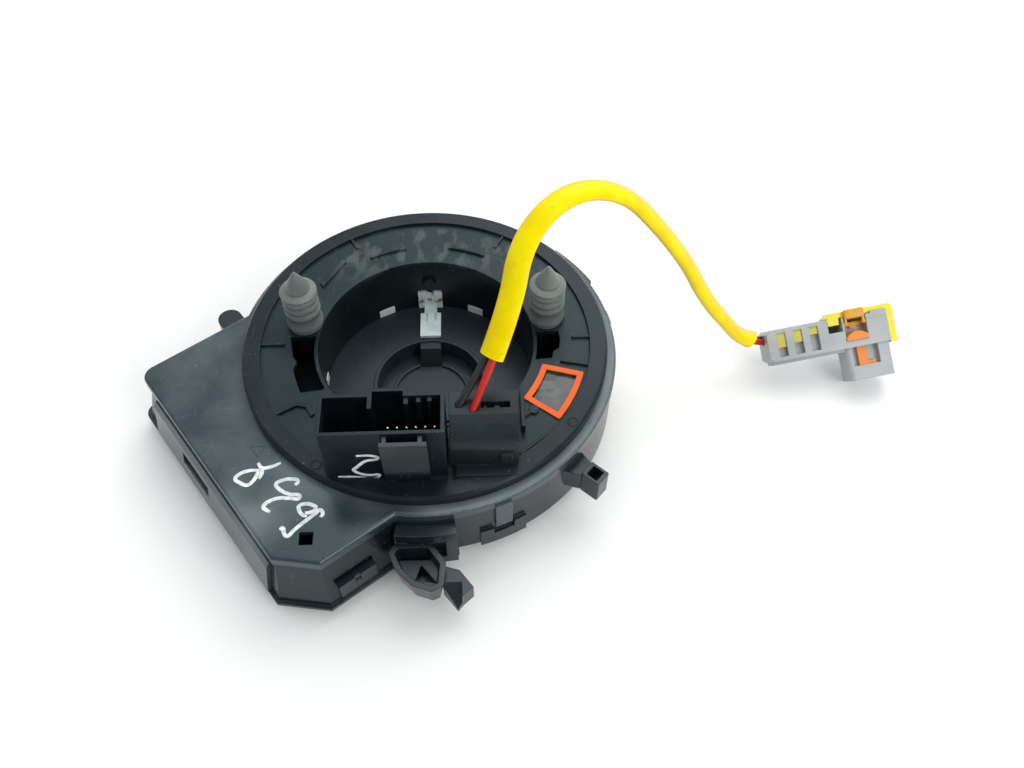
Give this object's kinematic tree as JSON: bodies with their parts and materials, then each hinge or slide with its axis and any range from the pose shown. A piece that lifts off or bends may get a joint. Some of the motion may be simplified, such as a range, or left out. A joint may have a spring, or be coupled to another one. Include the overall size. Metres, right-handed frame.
{
  "type": "steering clock spring",
  "caption": "Steering column clock spring: fixed housing with angle sensor box, turning rotor with header, two drive pins, wire block and a yellow squib lead with plug",
  "frame": {"origin": "on the steering axis, at the back face of the fixed housing", "axes": "+Z along the steering axis towards the driver, +X through the right drive pin, -Y towards the steering wheel loom header's side"},
  "size_m": [0.2188, 0.124, 0.0843],
  "materials": {
    "housing_black": "glossy moulded black with a faint blue cast",
    "rotor_black": "satin moulded black",
    "board_green": "solder-masked board",
    "chip_black": "moulded chip",
    "pin_metal": "tinned brass",
    "pin_grey": "satin grey",
    "white_plastic": "off-white acetal with grease on its foot",
    "window_orange": "satin orange",
    "lens_grey": "smooth grey",
    "magnet_dark": "plain ferrite",
    "film_white": "laminated film",
    "sleeve_yellow": "soft PVC tube",
    "wire_red": "wire insulation",
    "wire_black": "wire insulation",
    "plug_grey": "light grey nylon",
    "plug_yellow": "bright yellow",
    "plug_pale": "pale yellow",
    "plug_orange": "orange",
    "plug_amber": "amber"
  },
  "bodies": {
    "housing": {"base_shell": "housing_black", "top_cover": "housing_black", "side_panel": "housing_black", "ribbon_guide": "rotor_black", "sensor_board": "board_green", "sensor_chips": "chip_black", "column_pins": "pin_metal"},
    "rotor": {"rotor_disc": "rotor_black", "hub_ring": "rotor_black", "transit_plug": "rotor_black", "drive_pin_left": "pin_grey", "drive_pin_right": "pin_grey", "header_pins": "pin_metal", "wire_block": "rotor_black", "wire_cap": "rotor_black", "window_frame": "window_orange", "window_lens": "lens_grey", "sensor_gear": "white_plastic", "drive_dog": "white_plastic", "ribbon_cable": "film_white", "lead_sleeve": "sleeve_yellow", "wire_red": "wire_red", "wire_black": "wire_black", "plug_body": "plug_grey", "plug_insert": "plug_pale", "plug_button": "plug_orange", "plug_stem": "plug_orange", "plug_clip": "plug_amber"},
    "magnet_wheel_a": {"magnet_gear_a": "white_plastic", "magnet_a": "magnet_dark"},
    "magnet_wheel_b": {"magnet_gear_b": "white_plastic", "magnet_b": "magnet_dark"},
    "plug_slider": {"plug_lock": "plug_yellow"}
  },
  "joints": [
    {"name": "rotor_turn", "type": "hinge", "parent": "housing", "child": "rotor", "pos_m": [0, 0, 0], "axis": [0, 0, 1], "range_deg": [-900, 900]},
    {"name": "magnet_a_spin", "type": "hinge", "parent": "housing", "child": "magnet_wheel_a", "pos_m": [-0.04543, -0.01836, 0], "axis": [0, 0, 1], "range_deg": [-3510, 3510]},
    {"name": "magnet_b_spin", "type": "hinge", "parent": "housing", "child": "magnet_wheel_b", "pos_m": [-0.03085, -0.03677, 0], "axis": [0, 0, 1], "range_deg": [-3900, 3900]},
    {"name": "plug_lock_press", "type": "slide", "parent": "rotor", "child": "plug_slider", "axis": [0.1619, -0.8016, -0.5755], "range_m": [0, 0.0015]}
  ],
  "couplings": [
    {"joint": "magnet_a_spin", "follows": "rotor_turn", "ratio": -3.9},
    {"joint": "magnet_b_spin", "follows": "rotor_turn", "ratio": -4.3333}
  ]
}
